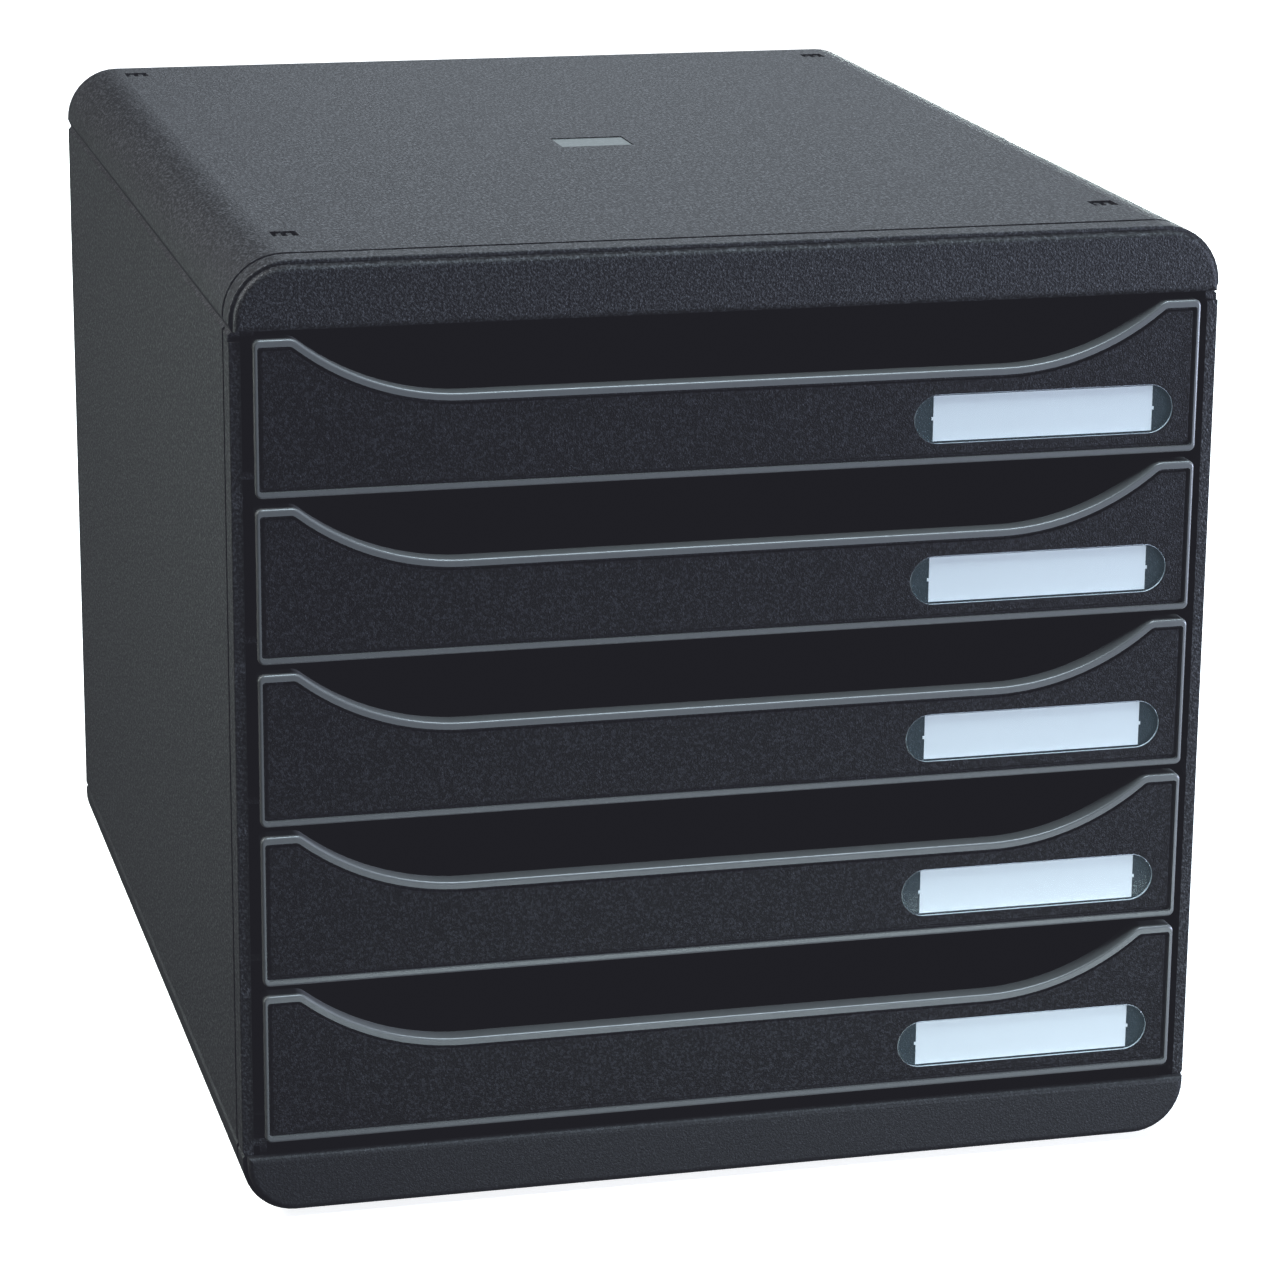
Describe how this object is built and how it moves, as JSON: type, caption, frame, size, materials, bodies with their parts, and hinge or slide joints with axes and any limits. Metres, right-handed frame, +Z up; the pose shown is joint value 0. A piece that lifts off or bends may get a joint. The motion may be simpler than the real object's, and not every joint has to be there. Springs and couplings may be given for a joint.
{
  "type": "desktop drawer unit",
  "caption": "Desktop drawer unit for A4+ papers: moulded casing with rounded top and base, sliding trays with scooped fronts, grey rims and label windows.",
  "frame": {"origin": "on the table, under the middle of the casing's outline", "axes": "+Z up, -Y the side of the drawer fronts, +X to the right as seen from the front"},
  "size_m": [0.278, 0.347, 0.271],
  "materials": {
    "casing_plastic": "fine leather-like moulded grain, satin",
    "drawer_plastic": "fine moulded grain, satin",
    "rim_grey": "smooth satin",
    "clear_window": "clear polished plastic",
    "label_paper": "uncoated white paper",
    "badge_grey": "smooth satin, bare",
    "foot_rubber": "matte"
  },
  "bodies": {
    "casing": {"top_cover": "casing_plastic", "base_tray": "casing_plastic", "side_panel_left": "casing_plastic", "side_panel_right": "casing_plastic", "back_panel": "casing_plastic", "badge_plate": "badge_grey", "foot_front_left": "foot_rubber", "foot_front_right": "foot_rubber", "foot_rear_left": "foot_rubber", "foot_rear_right": "foot_rubber"},
    "drawer_1": {"drawer_1_tray": "drawer_plastic", "drawer_1_rim": "rim_grey", "drawer_1_label_window": "clear_window", "drawer_1_paper_label": "label_paper"},
    "drawer_2": {"drawer_2_tray": "drawer_plastic", "drawer_2_rim": "rim_grey", "drawer_2_label_window": "clear_window", "drawer_2_paper_label": "label_paper"},
    "drawer_3": {"drawer_3_tray": "drawer_plastic", "drawer_3_rim": "rim_grey", "drawer_3_label_window": "clear_window", "drawer_3_paper_label": "label_paper"},
    "drawer_4": {"drawer_4_tray": "drawer_plastic", "drawer_4_rim": "rim_grey", "drawer_4_label_window": "clear_window", "drawer_4_paper_label": "label_paper"},
    "drawer_5": {"drawer_5_tray": "drawer_plastic", "drawer_5_rim": "rim_grey", "drawer_5_label_window": "clear_window", "drawer_5_paper_label": "label_paper"}
  },
  "joints": [
    {"name": "drawer_1_slide", "type": "slide", "parent": "casing", "child": "drawer_1", "axis": [0, -1, 0], "range_m": [0, 0.27]},
    {"name": "drawer_2_slide", "type": "slide", "parent": "casing", "child": "drawer_2", "axis": [0, -1, 0], "range_m": [0, 0.27]},
    {"name": "drawer_3_slide", "type": "slide", "parent": "casing", "child": "drawer_3", "axis": [0, -1, 0], "range_m": [0, 0.27]},
    {"name": "drawer_4_slide", "type": "slide", "parent": "casing", "child": "drawer_4", "axis": [0, -1, 0], "range_m": [0, 0.27]},
    {"name": "drawer_5_slide", "type": "slide", "parent": "casing", "child": "drawer_5", "axis": [0, -1, 0], "range_m": [0, 0.27]}
  ]
}
